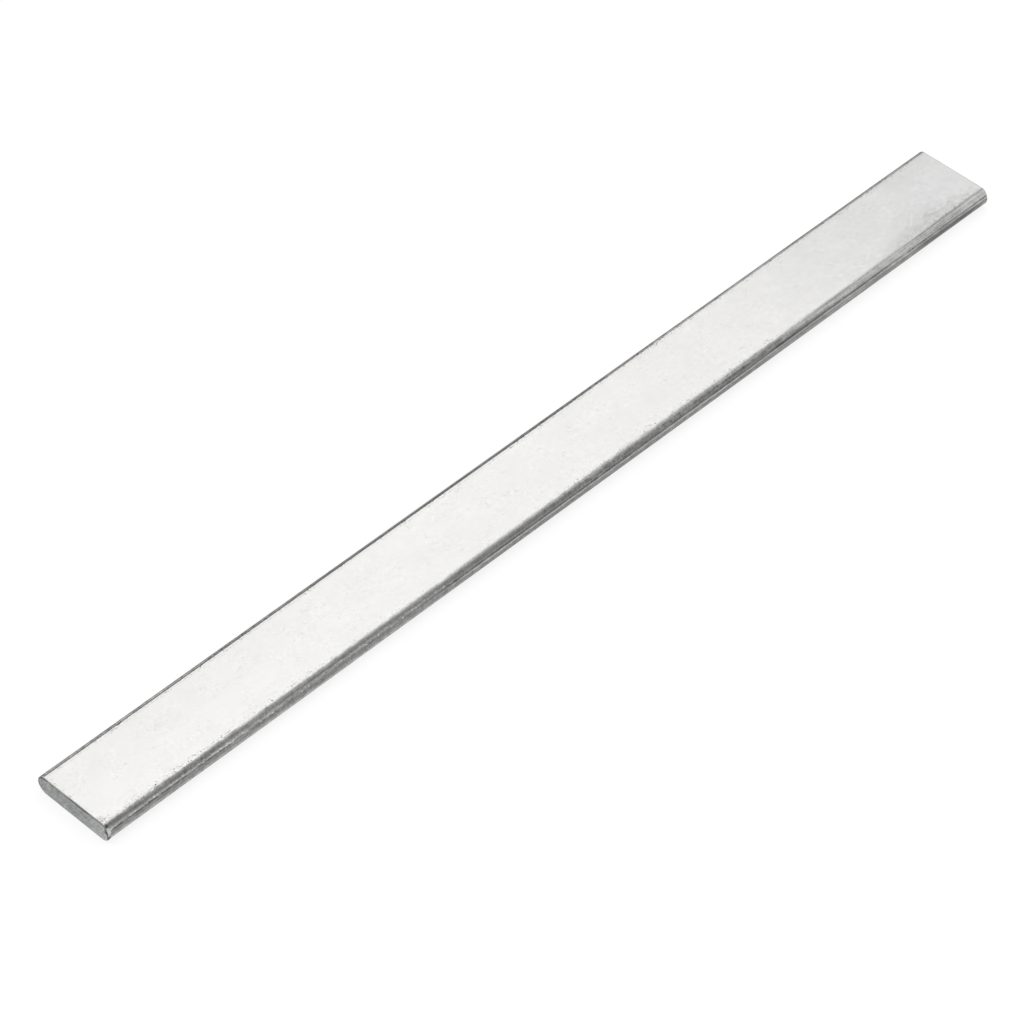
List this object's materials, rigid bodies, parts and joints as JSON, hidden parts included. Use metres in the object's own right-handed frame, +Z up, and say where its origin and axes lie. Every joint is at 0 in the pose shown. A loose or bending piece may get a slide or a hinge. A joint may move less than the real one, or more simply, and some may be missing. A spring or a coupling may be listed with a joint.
{
  "type": "metal flat bar",
  "caption": "Flat steel bar with full-height round rolled edges, a fine rolling line along each edge, and sheared ends.",
  "frame": {"origin": "centre of the underside, on the surface that the bar lies on", "axes": "+X along the length, +Y across the width, +Z up through the thickness"},
  "size_m": [0.32, 0.025, 0.006],
  "materials": {
    "zinc_coated_steel": "satin"
  },
  "bodies": {
    "root": {"flat_bar": "zinc_coated_steel"}
  },
  "joints": []
}
